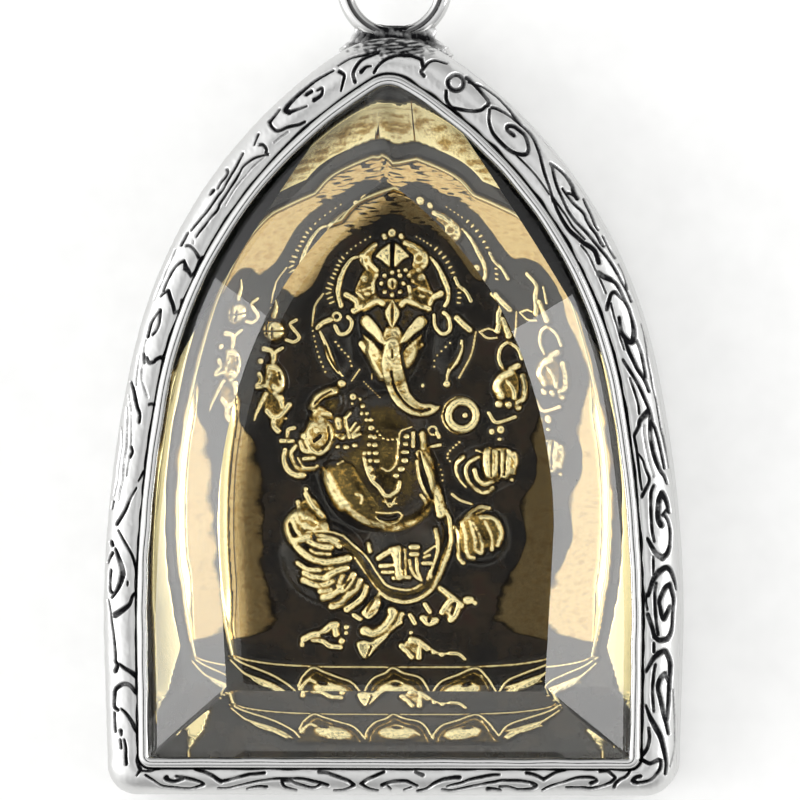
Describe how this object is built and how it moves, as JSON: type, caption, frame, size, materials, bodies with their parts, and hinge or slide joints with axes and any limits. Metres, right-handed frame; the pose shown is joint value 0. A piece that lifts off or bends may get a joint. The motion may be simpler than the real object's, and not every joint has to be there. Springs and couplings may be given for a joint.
{
  "type": "ganesha pendant",
  "caption": "Arch-shaped silver amulet pendant with an engraved rim and a hanging ring, holding a brass relief of dancing Ganesha under a thick bevelled clear stone.",
  "frame": {"origin": "middle of the outline, on the flat back face", "axes": "+Y from the foot towards the hanging ring, +Z out of the front through the stone, X across"},
  "size_m": [0.0286, 0.0432, 0.0106],
  "materials": {
    "oxidised_silver": "sterling silver, polished high spots over a blackened engraved scroll pattern",
    "polished_silver": "bright burnished silver strip",
    "clear_stone": "clear polished crystal glass",
    "antiqued_brass": "cast brass, worn bright on the high spots with a black patina in the recesses"
  },
  "bodies": {
    "root": {"case": "oxidised_silver", "bezel": "polished_silver", "crystal": "clear_stone", "relief_plate": "antiqued_brass"}
  },
  "joints": []
}
